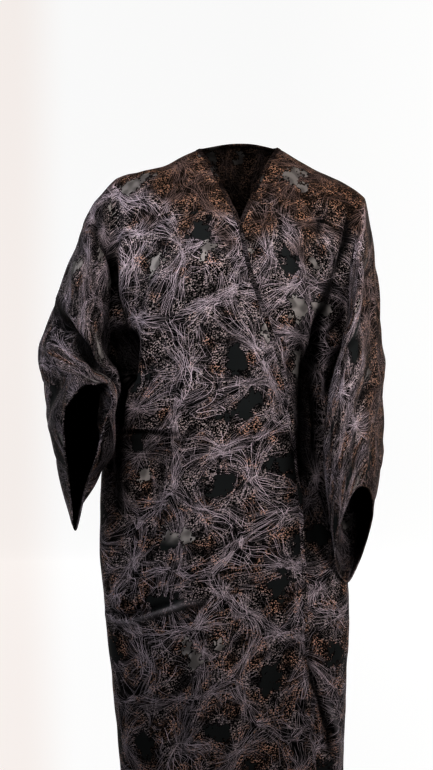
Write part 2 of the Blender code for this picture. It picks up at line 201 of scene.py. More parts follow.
FOLD_FADE = 0.16
Fold = namedtuple("Fold", "x1 z1 x2 z2 width height")
FRONT_FOLDS = [Fold(*row) for row in (
    (-0.150, -0.20, -0.185, -0.46, 0.030, 0.010),
    (-0.215, -0.62, -0.196, HEM_Z, 0.030, -0.012),
    (0.115, -0.30, 0.150, -0.72, 0.030, 0.008),
    (0.165, -0.70, 0.158, HEM_Z, 0.026, -0.010),
    (-0.060, -0.78, -0.075, HEM_Z, 0.045, 0.007),
    (0.045, -0.90, 0.050, HEM_Z, 0.040, -0.007),
)]
BACK_FOLDS = [Fold(*row) for row in (
    (-0.175, -0.20, -0.165, HEM_Z, 0.030, -0.013),
    (-0.110, -0.30, -0.105, HEM_Z, 0.030, 0.011),
    (-0.045, -0.24, -0.045, HEM_Z, 0.028, -0.010),
    (0.020, -0.34, 0.015, HEM_Z, 0.030, 0.012),
    (0.080, -0.26, 0.075, HEM_Z, 0.028, -0.011),
    (0.145, -0.22, 0.135, HEM_Z, 0.030, 0.012),
)]


def ease(value, start, end):
    """0 before start, 1 after end, and a smooth step between them."""
    u = np.clip((value - start) / (end - start), 0, 1)
    return u * u * (3 - 2 * u)


def shoulder_line(x):
    """Height of the shoulder seam over x, level between the neck points."""
    end = np.where(x < 0, RIGHT_SLEEVE[0].top[0], LEFT_SLEEVE[0].top[0])
    drop = np.where(x < 0, RIGHT_SLEEVE[0].top[2], LEFT_SLEEVE[0].top[2])
    share = np.clip((abs(x) - NECK_HALF) / (abs(end) - NECK_HALF), 0, 1)
    dips = [through(SHOULDER_DIP, side, share, key="share") for side in ("right", "left")]
    return drop * share + np.where(x < 0, *dips)


def nape_line(x, rise):
    """A curve that rises between the neck points, behind the neck."""
    return rise * np.clip(1 - (x / NECK_HALF) ** 2, 0, 1)


def fold_height(folds, x, z):
    """How far the hanging folds push the cloth out at each point, as seen from the front."""
    total = np.zeros(x.shape)
    for fold in folds:
        run_x, run_z = fold.x2 - fold.x1, fold.z2 - fold.z1
        length = np.hypot(run_x, run_z)
        along = ((x - fold.x1) * run_x + (z - fold.z1) * run_z) / length
        across = ((x - fold.x1) * run_z - (z - fold.z1) * run_x) / length
        total += fold.height * np.exp(-((across / fold.width) ** 2)) * ease(along, 0, FOLD_FADE)
    return total


NAPE_ROUND = 0.035


def form(x, z, side):
    """The body's outer surface at each point of the front view. side is "front" or "back"."""
    columns = ("left", "right", side, "seam")
    left, right, deep, seam = (through(BODY, column, z) for column in columns)
    top = shoulder_line(x) + (nape_line(x, NAPE_ROUND) if side == "back" else 0)
    turned = np.clip((top - z) / SHOULDER_ROUND, 0, 1)
    over = np.sqrt(1 - (1 - turned) ** 2)
    across = np.clip((2 * x - left - right) / (right - left), -1, 1)
    out = (1 - abs(across) ** SIDE_POWER) ** (1 / DEPTH_POWER)
    push = fold_height(BACK_FOLDS if side == "back" else FRONT_FOLDS, x, z) * over
    y = seam + (deep - seam) * out
    facing = np.sign(deep - seam)
    return np.stack([x, y * over + push * out * facing, z], axis=-1)


# The rows of points lie closer where lines are pressed into the cloth.
PRESSED_LINES = (-0.543, -0.874)
PRESSED_CROWD = 2.2
PRESSED_REACH = 0.016
LOWER_ROWS = 160
DROP_STEPS = 2000

drops = np.linspace(UNDERARM_Z, HEM_Z, DROP_STEPS)
crowd = 1 + sum(
    PRESSED_CROWD * np.exp(-(((drops - line) / PRESSED_REACH) ** 4)) for line in PRESSED_LINES
)
crowd = np.concatenate([[0], np.cumsum((crowd[1:] + crowd[:-1]) / 2)])
lower_levels = np.interp(np.linspace(0, crowd[-1], LOWER_ROWS + 1)[1:], crowd, drops)
row_drop = (1 - np.cos(np.pi * turns)) / 2
levels = np.concatenate([UNDERARM_Z * row_drop, lower_levels])


def row_ends(sleeve, side):
    """Where each row of the body ends: on the armhole, or below it on the side seam."""
    armhole = sleeve_grid(sleeve, "inner" if side == "front" else "outer")[:, 0]
    x = through(BODY, "left" if sleeve is RIGHT_SLEEVE else "right", lower_levels)
    seam = np.stack([x, through(BODY, "seam", lower_levels), lower_levels], axis=-1)
    return np.vstack([armhole, seam])


NAPE_RISE = 0.018
FIT_FROM = 0.62


def row_points(x, ends, side):
    """Points of the body's rows at x, fitted to the row ends in columns 0 and -1 where given."""
    drop = np.concatenate([row_drop, np.ones(LOWER_ROWS)])
    top = shoulder_line(x) + (nape_line(x, NAPE_RISE) if side == "back" else 0)
    z = top * (1 - drop[:, None]) + levels[:, None]
    points = form(x, z, side)
    for column, end in ends.items():
        near = ease(np.linspace(0, 1, x.shape[1]), FIT_FROM, 1)
        near = near if column else near[::-1]
        miss = end - points[:, column]
        points = points + miss[:, None] * near[None, :, None]
    return points


SIDE_COLUMNS = 60


def side_columns(start, end, far_end):
    """Columns from start to end, spaced as even steps round a form from far_end to end."""
    middle, half = (end + far_end) / 2, (end - far_end) / 2
    angle = np.linspace(np.arcsin((start - middle) / half), np.pi / 2, SIDE_COLUMNS + 1)
    return (middle + half * np.sin(angle)).T


# The fronts
#
# Two panels of organza, each with the front half of its sleeve. Below the V neck the right one laps
# over the left one and stands a little off it.

BAND_WIDTH = 0.008
OVERLAP_LIFT = 0.005

Edge = namedtuple("Edge", "z front_right front_left")
FRONT_EDGES = [Edge(*row) for row in (
    (0.000, -NECK_HALF, NECK_HALF),
    (-0.044, -0.048, 0.050),
    (-0.080, -0.031, 0.033),
    (-0.118, -0.013, 0.016),
    (-0.152, 0.002, 0.002),
    (-0.248, 0.024, -0.030),
    (-0.330, 0.052, -0.048),
    (-0.430, 0.083, -0.060),
    (-0.613, 0.112, -0.075),
    (-0.800, 0.122, -0.085),
    (-1.000, 0.131, -0.092),
    (-1.200, 0.143, -0.098),
    (HEM_Z, 0.150, -0.104),
)]


def outward(points, sign):
    """Unit vectors off a grid of points, to the side that sign picks."""
    down, across = np.gradient(points, axis=0), np.gradient(points, axis=1)
    normal = np.cross(down, across) * sign
    return normal / np.linalg.norm(normal, axis=2, keepdims=True)


def front_grid(sleeve, column):
    """The body part of a front: rows from the shoulder to the hem, columns from its free edge."""
    ends = row_ends(sleeve, "front")
    far_ends = row_ends(LEFT_SLEEVE if sleeve is RIGHT_SLEEVE else RIGHT_SLEEVE, "front")
    edge = through(FRONT_EDGES, column, levels)
    band = edge + np.sign(ends[:, 0]) * BAND_WIDTH
    x = np.hstack([edge[:, None], side_columns(band, ends[:, 0], far_ends[:, 0])])
    points = row_points(x, {-1: ends}, "front")
    if column == "front_right":
        lift = OVERLAP_LIFT * ease(x, -0.19, -0.12) * ease(-levels[:, None], 0.03, 0.12)
        points += outward(points, -1) * lift[..., None]
    return points


# The back
#
# One panel of organza from side seam to side seam, with the back halves of both sleeves. It rises a
# little behind the neck.

NECK_COLUMNS = 20


def back_grid():
    """The body part of the back, from the right armhole or side seam to the left one."""
    ends = {0: row_ends(RIGHT_SLEEVE, "back"), -1: row_ends(LEFT_SLEEVE, "back")}
    first, last = ends[0][:, 0], ends[-1][:, 0]
    neck = np.array([NECK_HALF + BAND_WIDTH])
    right_side = side_columns(-neck, first[:1], last[:1])[0, ::-1] / -first[0]
    left_side = side_columns(neck, last[:1], first[:1])[0] / last[0]
    middle = np.linspace(-NECK_HALF, NECK_HALF, NECK_COLUMNS + 1)
    middle = middle / np.where(middle < 0, -first[0], last[0])
    share = np.concatenate([right_side, middle, left_side])
    x = np.where(share < 0, -share * first[:, None], share * last[:, None])
    return row_points(x, ends, "back")


# The seams
#
# The shoulder, overarm, underarm and side seams are plain. The panels share their points there, on
# one table, and each keeps its own map of the flat cloth, which the organza's pattern follows.

SEAM_GAP = 1e-5

Grid = namedtuple("Grid", "points flat flip")


def run_lengths(points, axis):
    """Length of cloth from the first row or column of a grid to each of the others."""
    steps = np.linalg.norm(np.diff(points, axis=axis), axis=2)
    start = np.zeros_like(steps.take([0], axis=axis))
    return np.concatenate([start, np.cumsum(steps, axis=axis)], axis=axis)


def body_flat(points, start, sense):
    """Flat places of a body grid whose first column lies at start and runs to the side sense."""
    across = start[:, None] + sense * run_lengths(points, 1)
    down = points[0, :, 2] - run_lengths(points, 0)
    return np.stack([across, down], axis=-1)


def sleeve_flat(points, armhole, sense):
    """Flat places of a sleeve grid that goes on from an armhole's, to the side sense."""
    across = armhole[:, None, 0] + sense * run_lengths(points, 1)
    down = np.broadcast_to(armhole[:, None, 1], across.shape)
    return np.stack([across, down], axis=-1)


grids = {}
for name, arm, sleeve, sense in (
    ("front_right", "right_arm", RIGHT_SLEEVE, -1),
    ("front_left", "left_arm", LEFT_SLEEVE, 1),
):
    body, half = front_grid(sleeve, name), sleeve_grid(sleeve, "inner")
    flat = body_flat(body, through(FRONT_EDGES, name, levels), sense)
    half_flat = sleeve_flat(half, flat[: UPPER_ROWS + 1, -1], sense)
    grids[name, "body"] = Grid(body, flat, sense < 0)
    grids[name, arm] = Grid(half, half_flat, sense < 0)
body = back_grid()
middle = body.shape[1] // 2
flat = body_flat(body, np.zeros(len(body)), 1)
flat[..., 0] -= flat[:, middle: middle + 1, 0]
grids["back", "body"] = Grid(body, flat, True)
for arm, sleeve, column, sense in (
    ("right_arm", RIGHT_SLEEVE, 0, -1),
    ("left_arm", LEFT_SLEEVE, -1, 1),
):
    half = sleeve_grid(sleeve, "outer")
    half_flat = sleeve_flat(half, flat[: UPPER_ROWS + 1, column], sense)
    grids["back", arm] = Grid(half, half_flat, sense > 0)

laid = np.concatenate([grid.points.reshape(-1, 3) for grid in grids.values()])
flats = np.concatenate([grid.flat.reshape(-1, 2) for grid in grids.values()])
part_of = np.concatenate(
    [np.full(grid.flat[..., 0].size, part) for (_, part), grid in grids.items()]
)
_, first_use, joined = np.unique(
    np.round(laid / SEAM_GAP).astype(int), axis=0, return_index=True, return_inverse=True
)
joined = joined.reshape(-1)
cloth = laid[first_use]

cells, cell_panels, on_cloth = [], [], {}
start = 0
for key, grid in grids.items():
    rows, columns = grid.points.shape[:2]
    place = start + np.arange(rows * columns).reshape(rows, columns)
    on_cloth[key] = joined[place]
    quads = np.stack([place[:-1, :-1], place[1:, :-1], place[1:, 1:], place[:-1, 1:]], axis=-1)
    quads = quads.reshape(-1, 4)
    cells.append(quads[:, ::-1] if grid.flip else quads)
    cell_panels += [key[0]] * len(quads)
    start += rows * columns
cells = np.concatenate(cells)
cell_panels = np.array(cell_panels)
joined_cells = joined[cells]


# The armholes
#
# No seam runs where a sleeve meets the body, so the cloth is eased round there: over the arm for a
# hand's breadth, under it for less, and least on the shoulder, which keeps its corner.

ARMHOLE_EASE = 0.060
EASE_LEAST = 0.010
EASE_ROUNDS = 300
SHOULDER_KEPT = 0.82
UNDERARM_SHARE, UNDERARM_SPAN = 0.8, 0.03

to_armhole = np.full(len(cloth), np.inf)
for (_, part), grid in grids.items():
    for point in grid.points[:, 0] if part != "body" else ():
        to_armhole = np.minimum(to_armhole, np.linalg.norm(cloth - point, axis=1))
links = np.concatenate([joined_cells[:, [i, (i + 1) % 4]] for i in range(4)])
links = np.concatenate([links, links[:, ::-1]])
links = links[to_armhole[links[:, 0]] < ARMHOLE_EASE]
link_count = np.maximum(np.bincount(links[:, 0], minlength=len(cloth)), 1)[:, None]
over_arm = ease(cloth[:, 2], -0.37, -0.29)
under_arm = UNDERARM_SHARE * np.exp(-(((cloth[:, 2] - UNDERARM_Z) / UNDERARM_SPAN) ** 2))
on_shoulder = ease(cloth[:, 2], -0.17, -0.11)
reach = EASE_LEAST + (ARMHOLE_EASE - EASE_LEAST) * np.maximum(over_arm, under_arm)
share = 0.5 * ease(reach - to_armhole, 0, 0.4 * reach) * (1 - SHOULDER_KEPT * on_shoulder)
for _ in range(EASE_ROUNDS):
    around = np.stack(
        [np.bincount(links[:, 0], cloth[links[:, 1], axis], len(cloth)) for axis in range(3)],
        axis=1,
    )
    cloth = cloth + (around / link_count - cloth) * share[:, None]

# The right sleeve leans towards the body at the elbow, where the cloth of both meets.
ELBOW_LEAN = 0.026
ELBOW_Z = -0.455
ELBOW_SPAN = 0.045

arm_ids = joined[part_of == "right_arm"]
leaning = np.zeros(len(cloth))
leaning[arm_ids] = ELBOW_LEAN * ease(-cloth[arm_ids, 1], 0.01, 0.08)
cloth[:, 0] += leaning * np.exp(-(((cloth[:, 2] - ELBOW_Z) / ELBOW_SPAN) ** 2))


# The creases
#
# Sharp drags run from the folds, and organza keeps the lines that it was pressed or stored with.
# The deepest of them are painted dark with shade, and along some pressed lines a highlight is
# painted.

# Under the view and the parts that are crossed, each row has a crease's width and height, which is
# below zero in a valley, and then its path: x and z, or y and z from the sides. In millimetres.
CREASES = {
    ("front", "body right_arm"): [
        (7, -14, -277, -130, -258, -186, -239, -220, -230, -269, -228, -343),
        (12, 6, -215, -98, -210, -183, -210, -268),
        (8, -10, -228, -290, -224, -328, -220, -372),
        (20, -48, -220, -352, -213, -385, -213, -425, -226, -462),
        (9, -8, -314, -178, -284, -227, -261, -266),
    ],
    ("front", "body"): [
        (18, 22, -206, -160, -203, -240, -204, -320),
        (11, 10, -163, -298, -167, -345, -182, -406, -196, -435, -216, -464),
        (12, -22, -226, -447, -230, -484, -233, -552),
        (10, 5, -133, -198, -146, -265, -159, -332),
        (4, 4, -240, -540, -184, -536, -127, -539, -94, -543),
        (4, -5, -240, -549, -184, -545, -127, -548, -101, -550),
        (4, -7, -261, -882, -213, -890, -178, -877, -155, -867, -112, -852, -72, -845),
        (6, 7, -263, -894, -207, -900, -174, -887, -146, -876, -105, -861, -63, -853, -42, -863),
        (6, 5, 142, -909, 163, -912, 192, -913),
        (4, -6, 140, -923, 167, -930, 198, -934),
        (9, -9, 125, -939, 134, -989, 152, -1044, 170, -1103, 178, -1171),
        (8, 6, 113, -943, 124, -1003, 136, -1050, 154, -1105),
        (8, 8, 171, -1066, 184, -1122, 188, -1180),
        (16, 4, -90, -229, -63, -300, -50, -382),
        (18, -4, -13, -300, -24, -383, -17, -484),
        (16, 4, 42, -355, 57, -432, 54, -539),
        (18, -5, -165, -586, -150, -687, -161, -799),
        (20, 5, -63, -613, -76, -742, -65, -852),
        (18, -5, 30, -650, 43, -779, 35, -925),
        (16, 5, -204, -934, -192, -1027, -205, -1164),
        (18, -6, -109, -925, -116, -1036, -105, -1160),
        (18, 5, -20, -943, -9, -1036, -17, -1159),
        (14, -5, 68, -926, 61, -1037, 70, -1162),
        (11, 3, 191, -117, 185, -165, 171, -218, 151, -270),
        (20, -24, 131, -382, 129, -465, 127, -559, 131, -661),
        (12, 7, 102, -391, 97, -484, 95, -577),
        (7, 7, 106, -198, 113, -271, 126, -321),
        (7, -8, 123, -201, 132, -261, 144, -309),
        (6, -6, 131, -135, 147, -134, 154, -151, 148, -191),
        (8, 5, 106, -781, 124, -792, 146, -797),
        (8, -6, 110, -836, 129, -844, 148, -842),
        (9, 6, 105, -894, 128, -907, 150, -913),
        (9, -7, 113, -966, 132, -970, 152, -967),
        (10, 6, 109, -1028, 132, -1042, 154, -1049),
        (9, -6, 113, -1101, 132, -1109, 156, -1109),
    ],
    ("front", "right_arm"): [
        (10, 7, -296, -124, -270, -195, -249, -243, -245, -295),
        (12, 11, -352, -277, -317, -319, -288, -361, -265, -400, -255, -425),
        (13, -23, -336, -318, -309, -360, -283, -394, -263, -426, -256, -454),
        (6, -7, -319, -347, -324, -373, -327, -398),
        (12, 7, -355, -350, -356, -389, -341, -424),
        (8, 7, -309, -394, -293, -420, -273, -439),
        (11, 6, -322, -220, -295, -270, -273, -307, -255, -330),
        (7, -5, -327, -479, -320, -528, -312, -578),
        (8, 5, -256, -480, -248, -520, -257, -579),
    ],
    ("front", "body left_arm"): [
        (7, -10, 213, -109, 209, -148, 196, -202, 183, -265, 167, -306),
        (12, -34, 163, -312, 154, -350, 149, -400, 149, -450),
        (8, -14, 149, -437, 155, -522, 153, -613),
        (10, 8, 236, -113, 226, -163, 214, -224, 201, -281),
        (6, -9, 203, -326, 188, -343, 166, -368),
        (8, 8, 204, -348, 193, -367, 173, -394),
        (8, -11, 227, -354, 203, -392, 182, -443, 170, -480),
    ],
    ("front", "left_arm"): [
        (16, 12, 224, -150, 207, -215, 194, -270, 187, -330),
        (8, -12, 244, -224, 242, -296, 227, -380),
        (9, 6, 226, -225, 219, -283, 206, -332),
        (10, 8, 240, -390, 215, -438, 195, -492),
        (8, -8, 252, -431, 228, -484, 208, -542),
        (9, 6, 176, -502, 173, -556, 176, -611),
        (6, -5, 195, -520, 189, -556, 192, -596),
        (8, 6, 238, -521, 233, -577, 237, -625),
    ],
    ("back", "body right_arm"): [
        (10, -17, -262, -105, -240, -170, -224, -250, -222, -330, -228, -400),
        (14, -20, -205, -390, -208, -450, -222, -505),
        (13, 7, -235, -140, -205, -230, -196, -320),
    ],
    ("back", "body left_arm"): [
        (10, -17, 236, -120, 219, -190, 203, -270, 188, -350, 184, -420),
        (14, -20, 168, -400, 170, -450, 176, -510),
        (12, 7, 205, -150, 185, -240, 165, -330),
    ],
    ("back", "body"): [
        (14, -5, -60, -50, -100, -110, -152, -160),
        (14, -6, 70, -60, 112, -125, 160, -170),
        (16, 5, -20, -130, -30, -220, -20, -300),
        (15, -5, 50, -160, 40, -250, 50, -330),
        (6, 4, -185, -536, -90, -541, 10, -533, 70, -537),
        (5, -5, -180, -548, -90, -552, 10, -545, 60, -548),
        (7, 5, -235, -868, -160, -872, -60, -862, 30, -867),
        (5, -6, -235, -882, -160, -884, -60, -874, 20, -880),
        (6, 4, 100, -915, 150, -922, 205, -918),
        (5, -5, 95, -928, 150, -935, 205, -930),
    ],
    ("back", "right_arm"): [
        (11, 7, -285, -170, -315, -240, -335, -310),
        (9, -9, -265, -220, -292, -290, -330, -350),
        (11, 9, -270, -330, -305, -380, -345, -415),
        (9, -11, -268, -390, -300, -425, -342, -445),
        (10, 6, -278, -470, -305, -500, -338, -510),
        (8, -5, -290, -560, -312, -600, -318, -660),
    ],
    ("back", "left_arm"): [
        (9, -8, 250, -190, 252, -260, 245, -330),
        (10, 9, 228, -330, 242, -390, 258, -430),
        (9, -10, 218, -390, 232, -450, 252, -500),
        (10, 7, 222, -520, 236, -570, 254, -610),
        (8, -7, 215, -600, 228, -650, 246, -700),
    ],
    ("right", "right_arm"): [
        (11, 3.5, 60, -180, 20, -260, -30, -330),
        (9, -5, 55, -260, 30, -330, -20, -385),
        (12, 5, 68, -350, 20, -405, -60, -440),
        (9, -6, 60, -420, 0, -455, -70, -480),
        (10, 3.5, 30, -500, -40, -525, -110, -540),
        (8, -3, 0, -580, -60, -590, -110, -610),
    ],
    ("left", "right_arm"): [
        (36, 19, -40, -400, -80, -450, -115, -510, -130, -570, -120, -620),
    ],
    ("left", "left_arm"): [
        (10, 3.5, 60, -200, 45, -290, 10, -360),
        (9, -4.5, 0, -180, 0, -270, -30, -350),
        (11, 4.5, 62, -380, 20, -440, -50, -480),
        (9, -5.5, 55, -450, 10, -500, -60, -530),
        (10, 3.5, 40, -560, -10, -600, -70, -620),
        (8, -3, 10, -650, -40, -680, -90, -690),
    ],
}
# The same rows for the shadows, with their share of black in thousandths, or of shine below zero.
SHADOWS = {
    ("front", "right_arm"): [
        (14, 1600, -348, -285, -325, -339, -307, -367, -282, -404, -254, -434),
        (12, 1100, -356, -290, -350, -330),
        (32, 600, -345, -430, -340, -550, -315, -680),
        (24, 800, -262, -400, -244, -450, -243, -550, -262, -650),
        (20, 800, -290, -130, -312, -200, -336, -270),
    ],
    ("front", "body right_arm"): [
        (12, 850, -250, -100, -265, -150, -270, -215),
        (8, 1400, -240, -190, -232, -245, -226, -300, -222, -350),
        (20, 1800, -230, -330, -225, -385, -224, -450),
        (14, 1800, -208, -340, -203, -395, -213, -440),
    ],
    ("front", "body"): [
        (20, 350, -185, -235, -175, -320),
        (26, 500, -215, -570, -115, -570),
        (4, 950, -261, -884, -213, -892, -178, -879, -155, -869, -112, -854),
        (6, -900, -263, -894, -207, -900, -174, -887, -146, -876, -105, -861, -63, -853),
        (4, 800, -240, -549, -184, -545, -127, -548, -101, -550),
        (3, -300, -240, -540, -184, -536, -127, -539),
        (8, 1100, 125, -939, 134, -989, 152, -1044, 170, -1103, 178, -1171),
        (6, -900, 160, -1030, 176, -1080, 187, -1130, 190, -1190),
        (32, 800, 112, -520, 122, -620, 128, -720, 130, -810),
        (14, 950, -225, -480, -224, -600, -228, -720),
        (8, 950, 155, -132, 151, -155, 151, -180),
        (24, 750, 130, -300, 116, -370, 108, -440, 108, -540),
        (35, 350, 150, -180, 135, -260, 120, -340),
    ],
    ("front", "body left_arm"): [
        (7, 1200, 214, -118, 209, -151, 201, -192, 188, -229, 175, -262),
        (12, 1400, 182, -245, 161, -294, 152, -331, 145, -364),
    ],
}
# Which way a view's paths run across it, and where its viewer stands.
VIEWS = {
    "front": (0, (0, -1, 0)),
    "back": (0, (0, 1, 0)),
    "right": (1, (-1, 0, 0)),
    "left": (1, (1, 0, 0)),
}


def normals_of(points):
    """Unit normals of the joined cloth at its points."""
    corners = points[joined_cells]
    face = np.cross(corners[:, 2] - corners[:, 0], corners[:, 3] - corners[:, 1])
    corner = joined_cells.T.reshape(-1)
    total = np.stack([np.bincount(corner, np.tile(face[:, axis], 4)) for axis in range(3)], axis=1)
    return total / np.linalg.norm(total, axis=1, keepdims=True)


normals = normals_of(cloth)[joined]
places = cloth[joined]

# A crease is full where the cloth faces its view by this much, and tapers over its ends.
FACING_FULL, TAPER_SHARE, TAPER_MOST = 0.35, 0.3, 0.05


def drawn(table):
    """For each row of a table: which laid points it may change, and its height at each of them,
    with soft ends, where the cloth faces its view."""
    for (view, crossed), rows in table.items():
        own = np.isin(part_of, crossed.split())
        axis, viewer = VIEWS[view]
        x, z, facing = places[own, axis], places[own, 2], normals[own] @ viewer
        facing = ease(facing, 0.0, FACING_FULL)
        for width, height, *path in rows:
            path = np.reshape(path, (-1, 2)) / 1000
            steps = np.diff(path, axis=0)
            lengths = np.linalg.norm(steps, axis=1)
            starts = np.concatenate([[0], np.cumsum(lengths)])
            best, run = np.full(len(x), np.inf), np.zeros(len(x))
            for start, step, length, begun in zip(path, steps, lengths, starts):
                dx, dz = x - start[0], z - start[1]
                held = np.clip((dx * step[0] + dz * step[1]) / length, 0, length)
                gap = np.hypot(dx - held * step[0] / length, dz - held * step[1] / length)
                run = np.where(gap < best, begun + held, run)
                best = np.minimum(best, gap)
            taper = min(TAPER_SHARE * starts[-1], TAPER_MOST)
            ends = ease(run, -0.3 * taper, taper) * ease(starts[-1] - run, -0.3 * taper, taper)
            yield own, height / 1000 * np.exp(-((best / (width / 1000)) ** 2)) * ends * facing


# How deep a valley must be for painted shade to start darkening it, and where the painted
# shade is full.
PAINTED_SHADE_FROM, PAINTED_SHADE_FULL = 0.002, 0.020

lift = np.zeros(len(laid))
for own, height in drawn(CREASES):
    lift[own] += height
lift = np.bincount(joined, lift) / np.bincount(joined)
painted_shade_and_shine = ease(-lift, PAINTED_SHADE_FROM, PAINTED_SHADE_FULL)
# The shadows' rows add painted shade, and their rows below zero add painted highlights.
shine = np.zeros(len(cloth))
for own, share in drawn(SHADOWS):
    np.maximum.at(painted_shade_and_shine, joined[own], share.clip(0, 1))
    np.maximum.at(shine, joined[own], (-share).clip(0, 1))
painted_shade_and_shine = painted_shade_and_shine - shine

# The cloth is nowhere quite even: broad waves and small ones, with their heights and lengths.
BROAD_WAVE, SMALL_WAVE = (0.0028, 0.09), (0.0012, 0.035)

lift = lift + np.array([
    BROAD_WAVE[0] * noise.noise(point / BROAD_WAVE[1])
    + SMALL_WAVE[0] * noise.noise(point / SMALL_WAVE[1] + Vector((7, 0, 0)))
    for point in map(Vector, cloth.tolist())
])
cloth = cloth + normals_of(cloth) * lift[:, None]
cloth_normals = normals_of(cloth)


# The organza
#
# Sheer black ground with a burnt-out pattern: hairlike strands in sheaves, seed-like specks between
# them, and bare sheer patches with ragged edges. From the shoulders it fades to brown. Shade is
# painted into its creases, shadows and inside, and highlights along some pressed lines.

GROUND, BROWN_GROUND = (0.003, 0.002, 0.0025, 1), (0.010, 0.006, 0.004, 1)
STRAND, BROWN_STRAND = (0.69, 0.60, 0.645, 1), (0.27, 0.192, 0.172, 1)
SEED, BROWN_SEED = (0.43, 0.365, 0.355, 1), (0.38, 0.234, 0.16, 1)
RUSTY_SEED = (0.56, 0.355, 0.265, 1)
DARK_PATCH, PATCH_EDGE = (0.024, 0.027, 0.027, 1), (0.002, 0.0015, 0.002, 1)
PALE_PATCH, BRIGHT_PATCH = (0.17, 0.158, 0.152, 1), (0.35, 0.33, 0.315, 1)
BROWN_PATCH = (0.070, 0.062, 0.056, 1)
# Colours of the painted shade and of the painted highlight.
PAINTED_SHADE, SHINE = (0.0015, 0.0012, 0.0013, 1), (0.60, 0.55, 0.58, 1)
BAND_BLACK = (0.004, 0.003, 0.0035, 1)


class Shade:
    """One value in a finish. Operators on it add the Math nodes that work it out."""

    def __init__(self, tree, socket=None):
        self.tree = tree
        self.socket = socket

    def node(self, kind, settings, sockets, output=0):
        """Any node: its settings are set first, then the values or links of its sockets."""
        node = self.tree.nodes.new(kind)
        for name, value in settings.items():
            setattr(node, name, value)
        for name, value in sockets.items():
            if isinstance(value, Shade):
                self.tree.links.new(node.inputs[name], value.socket)
            else:
                node.inputs[name].default_value = value
        return Shade(self.tree, node.outputs[output])

    def math(self, operation, *values):
        return self.node("ShaderNodeMath", {"operation": operation}, dict(enumerate(values)))

    def __add__(self, other):
        return self.math("ADD", self, other)

    def __sub__(self, other):
        return self.math("SUBTRACT", self, other)

    def __mul__(self, other):
        return self.math("MULTIPLY", self, other)

    def __truediv__(self, other):
        return self.math("DIVIDE", self, other)

    def __pow__(self, other):
        return self.math("POWER", self, other)

    def __abs__(self):
        return self.math("ABSOLUTE", self)

    def floor(self):
        return self.math("FLOOR", self)

    def top(self, other):
        return self.math("MAXIMUM", self, other)

    def least(self, other):
        return self.math("MINIMUM", self, other)

    def rise(self, low, high):
        """0 below low and 1 above high, with a smooth step between; falls if low is the higher."""
        return self.node(
            "ShaderNodeMapRange",
            {"interpolation_type": "SMOOTHSTEP"},
            {"Value": self, "From Min": low, "From Max": high},
        )


def new_finish(name):
    """A new material, its shader, and a shade that starts its nodes."""
    material = bpy.data.materials.new(name)
    material.use_nodes = True
    tree = material.node_tree
    return material, tree.nodes["Principled BSDF"], Shade(tree)


def pair(x, y):
    return x.node("ShaderNodeCombineXYZ", {}, {"X": x, "Y": y})


def split(vector, axes="XY"):
    outs = vector.node("ShaderNodeSeparateXYZ", {}, {"Vector": vector}).socket.node.outputs
    return [Shade(vector.tree, outs[axis]) for axis in axes]


def grain(x, y, detail=0.0, rough=0.5):
    """Soft noise between about 0.2 and 0.8 at (x, y)."""
    return x.node(
        "ShaderNodeTexNoise",
        {"noise_dimensions": "2D"},
        {"Vector": pair(x, y), "Scale": 1.0, "Detail": detail, "Roughness": rough},
    )


def cell(x, y, feature, output):
    """The nearest or next nearest of scattered cells: its Distance, Position or own Color."""
    return x.node(
        "ShaderNodeTexVoronoi",
        {"voronoi_dimensions": "2D", "feature": feature},
        {"Vector": pair(x, y), "Scale": 1.0},
        output,
    )


def chance(a, b):
    """A number between 0 and 1, picked anew for each pair."""
    return a.node("ShaderNodeTexWhiteNoise", {"noise_dimensions": "2D"}, {"Vector": pair(a, b)})


def blend(share, first, second):
    """A colour between two others."""
    sockets = {"Factor": share, 6: first, 7: second}
    return share.node("ShaderNodeMix", {"data_type": "RGBA"}, sockets, 2)


def sway(x, y):
    """How far the whole pattern drifts sideways over the cloth."""
    return (grain(x / 0.21, y / 0.21) - 0.5) * 0.14


CURL = 0.02


def net(x, y, spacing, seed):
    """Where a point lies at the nearest border of a net of cells: across it and along it, in
    spacings, and a number of its own for each border."""
    bx = x + (grain(x / 0.06 + seed, y / 0.06) - 0.5) * CURL + sway(x, y)
    by = y + (grain(x / 0.06, y / 0.06 + seed) - 0.5) * CURL
    qx, qy = bx / spacing + seed, by / spacing - seed
    ax, ay = split(cell(qx, qy, "F1", "Position"))
    cx, cy = split(cell(qx, qy, "F2", "Position"))
    nx, ny = cx - ax, cy - ay
    size = (nx * nx + ny * ny) ** 0.5 * nx.math("SIGN", nx)
    nx, ny = nx / size, ny / size
    mx, my = (ax + cx) * 0.5, (ay + cy) * 0.5
    dx, dy = qx - mx, qy - my
    return dx * nx + dy * ny, dy * nx - dx * ny, mx * 17.3 + my * 7.7


# Three nets of sheaves, coarse to fine, each with its spacing and seed. A bundle of strands runs
# across every border of its net, as wide at the middle as its tie.
NETS = ((0.125, 0.0), (0.100, 5.0), (0.050, 9.0))
FINE_NET = 2
HAIR = 0.00033

Bundle = namedtuple("Bundle", "net tie spread count twist bend")
BUNDLES = [Bundle(*row) for row in (
    (0, 0.05, 0.70, 8, 0.00, 0.25),
    (0, 0.07, 0.80, 8, 0.30, 0.25),
    (0, 0.07, 0.80, 8, -0.30, 0.25),
    (0, 0.10, 0.90, 8, 0.65, 0.3),
    (0, 0.10, 0.90, 8, -0.65, 0.3),
    (2, 0.14, 0.90, 4, 0.45, 0.4),
    (2, 0.14, 0.90, 4, -0.45, 0.4),
    (1, 0.09, 0.80, 7, 0.15, 0.3),
    (1, 0.12, 0.80, 7, -0.40, 0.4),
)]


